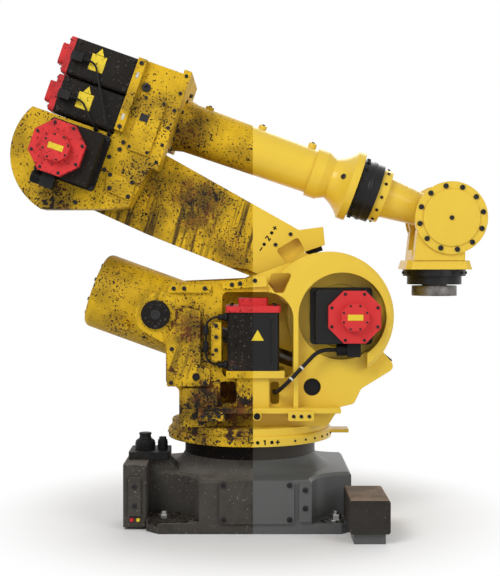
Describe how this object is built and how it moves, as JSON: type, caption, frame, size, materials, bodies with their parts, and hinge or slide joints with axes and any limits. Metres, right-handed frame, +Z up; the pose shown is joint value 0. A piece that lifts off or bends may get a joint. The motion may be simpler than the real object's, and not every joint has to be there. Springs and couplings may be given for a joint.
{
  "type": "industrial robot arm",
  "caption": "Six-axis industrial robot arm on a scalloped cast pedestal, with a spring balancer, folded for transport; it carries and turns a tool on its wrist flange.",
  "frame": {"origin": "on the turret's turning axis, at floor level under the pedestal", "axes": "+Z up along the turret's axis, +X towards the working side, the side seen in the picture at -Y"},
  "size_m": [1.6532, 0.853, 1.6737],
  "materials": {
    "yellow_paint": "semi-gloss enamel, worn and stained towards the rear half",
    "grey_paint": "dark grey enamel, dusty",
    "black_paint": "satin black enamel",
    "red_cap": "satin red moulding",
    "black_plastic": "matt black",
    "bare_steel": "oiled machined steel"
  },
  "bodies": {
    "base": {"base_casting": "grey_paint", "neck_ring": "black_paint", "base_cover_front": "grey_paint", "base_cover_rear": "grey_paint", "connector_box": "grey_paint", "harness_plugs": "black_plastic", "outrigger_tube": "grey_paint", "outrigger_pads": "grey_paint"},
    "turret": {"turret_flange": "yellow_paint", "turret_near_plate": "yellow_paint", "turret_far_plate": "yellow_paint", "shoulder_bearing_cover": "yellow_paint", "trunnion_cap_near": "black_paint", "trunnion_cap_far": "black_paint", "turret_motor": "black_paint", "turret_motor_cap": "red_cap", "shoulder_motor": "black_paint", "shoulder_motor_cap": "red_cap", "shoulder_motor_plug": "black_plastic", "shoulder_motor_cable": "black_plastic", "turret_motor_cable": "black_plastic"},
    "balancer": {"balancer_drum": "yellow_paint"},
    "balancer_rod": {"balancer_rod": "bare_steel"},
    "lower_arm": {"lower_arm_casting": "yellow_paint", "arm_bumper": "black_plastic"},
    "elbow": {"elbow_casting": "yellow_paint", "gear_flange": "yellow_paint", "elbow_motor": "black_paint", "elbow_motor_cap": "red_cap", "wrist_motor_lower": "black_paint", "wrist_motor_lower_cap": "red_cap", "wrist_motor_upper": "black_paint", "wrist_motor_upper_cap": "red_cap", "wrist_motor_far": "black_paint", "wrist_motor_far_cap": "red_cap", "forearm_tube": "yellow_paint", "elbow_motor_plug": "black_plastic", "wrist_motor_plugs": "black_plastic", "elbow_cables": "black_plastic"},
    "wrist_roll": {"roll_ring": "black_paint", "roll_collar": "yellow_paint", "wrist_neck": "yellow_paint"},
    "wrist_pitch": {"pitch_housing": "yellow_paint", "flange_plate": "yellow_paint", "tool_reducer": "black_paint", "pitch_cover_near": "yellow_paint", "pitch_cover_far": "yellow_paint"},
    "tool": {"tool_flange": "bare_steel"}
  },
  "joints": [
    {"name": "turret_turn", "type": "hinge", "parent": "base", "child": "turret", "pos_m": [0, 0, 0.3], "axis": [0, 0, 1], "range_deg": [-180, 180]},
    {"name": "shoulder_swing", "type": "hinge", "parent": "turret", "child": "lower_arm", "pos_m": [0.315, 0, 0.72], "axis": [0, 1, 0], "range_deg": [0, 85]},
    {"name": "balancer_tilt", "type": "hinge", "parent": "turret", "child": "balancer", "pos_m": [-0.325, 0, 0.725], "axis": [0, -1, 0], "range_deg": [0, 28]},
    {"name": "balancer_stroke", "type": "slide", "parent": "balancer", "child": "balancer_rod", "axis": [-0.9397, 0, 0.342], "range_m": [0, 0.18]},
    {"name": "elbow_swing", "type": "hinge", "parent": "lower_arm", "child": "elbow", "pos_m": [-0.60217, 0, 1.27109], "axis": [0, -1, 0], "range_deg": [0, 165]},
    {"name": "wrist_roll_turn", "type": "hinge", "parent": "elbow", "child": "wrist_roll", "pos_m": [-0.52206, 0, 1.49733], "axis": [0.9426, 0, -0.3338], "range_deg": [-180, 180]},
    {"name": "wrist_pitch_swing", "type": "hinge", "parent": "wrist_roll", "child": "wrist_pitch", "pos_m": [0.70809, 0, 1.06171], "axis": [0, -1, 0], "range_deg": [-36, 186]},
    {"name": "tool_turn", "type": "hinge", "parent": "wrist_pitch", "child": "tool", "pos_m": [0.66809, 0, 1.06171], "axis": [0, 0, -1], "range_deg": [-360, 360]}
  ],
  "couplings": [
    {"joint": "balancer_tilt", "follows": "shoulder_swing", "ratio": 0.32},
    {"joint": "balancer_stroke", "follows": "shoulder_swing", "m_per_rad": 0.116}
  ]
}
